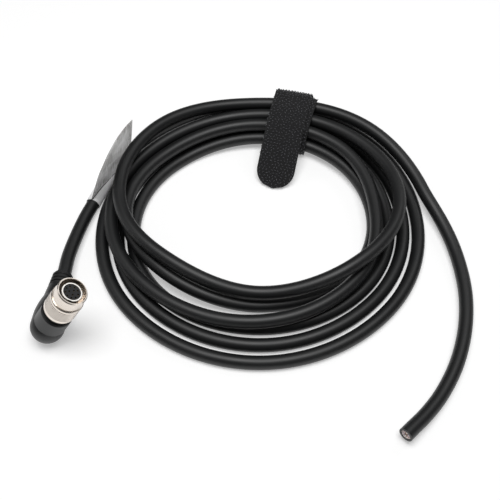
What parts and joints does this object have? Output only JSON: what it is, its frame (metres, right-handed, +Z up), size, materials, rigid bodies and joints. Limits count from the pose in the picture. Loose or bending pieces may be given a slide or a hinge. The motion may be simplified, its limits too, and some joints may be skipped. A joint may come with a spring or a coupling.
{
  "type": "instrument cable",
  "caption": "Coiled shielded multi-core cable with an angled push-pull plug on one end and a bare cut end, held by a hook-and-loop tie, with a blank flag label.",
  "frame": {"origin": "on the floor under the middle of the angled plug", "axes": "+Z up from the floor the cable lies on; +Y from the plug along its elbow towards the coil's far side; +X from the plug across the coil"},
  "size_m": [0.2044, 0.199, 0.0417],
  "materials": {
    "moulded_black": "moulded, satin",
    "relief_rubber": "moulded, matte",
    "nickel": "nickel plated",
    "satin_nickel": "satin nickel plated",
    "spring_steel": "bright spring steel",
    "insert_plastic": "moulded, semi gloss",
    "gold_contact": "gold plated",
    "core_insulation": "extruded PVC",
    "cable_jacket": "extruded PVC, satin",
    "copper_braid": "braided copper",
    "shield_tape": "non-woven wrap",
    "bare_copper": "bright copper",
    "tie_fabric": "woven hook-and-loop tape",
    "label_film": "matt film"
  },
  "bodies": {
    "plug": {"elbow_housing": "moulded_black", "strain_relief": "relief_rubber", "back_shell": "nickel", "plug_barrel": "nickel", "coupling_spring": "spring_steel", "snap_ring": "spring_steel", "lock_claws": "nickel", "front_insert": "insert_plastic", "rear_insert": "insert_plastic", "insert_ring": "spring_steel", "contact_sockets": "gold_contact", "core_wires": "core_insulation", "crimp_ferrule": "nickel", "cable_entry": "cable_jacket", "cable_lead": "cable_jacket", "cable_coil": "cable_jacket", "cable_tail": "cable_jacket", "end_jacket": "cable_jacket", "end_braid": "copper_braid", "end_wrap": "shield_tape", "end_cores": "core_insulation", "end_strands": "bare_copper", "end_filler": "shield_tape", "tie_hook_layer": "tie_fabric", "tie_loop_layer": "tie_fabric", "flag_label": "label_film"},
    "sleeve": {"coupling_sleeve": "satin_nickel"}
  },
  "joints": [
    {"name": "sleeve_slide", "type": "slide", "parent": "plug", "child": "sleeve", "axis": [-0.5048, -0.0299, -0.8627], "range_m": [0, 0.0015], "stiffness_N_per_m": 2000, "deforming": ["coupling_spring"]}
  ]
}
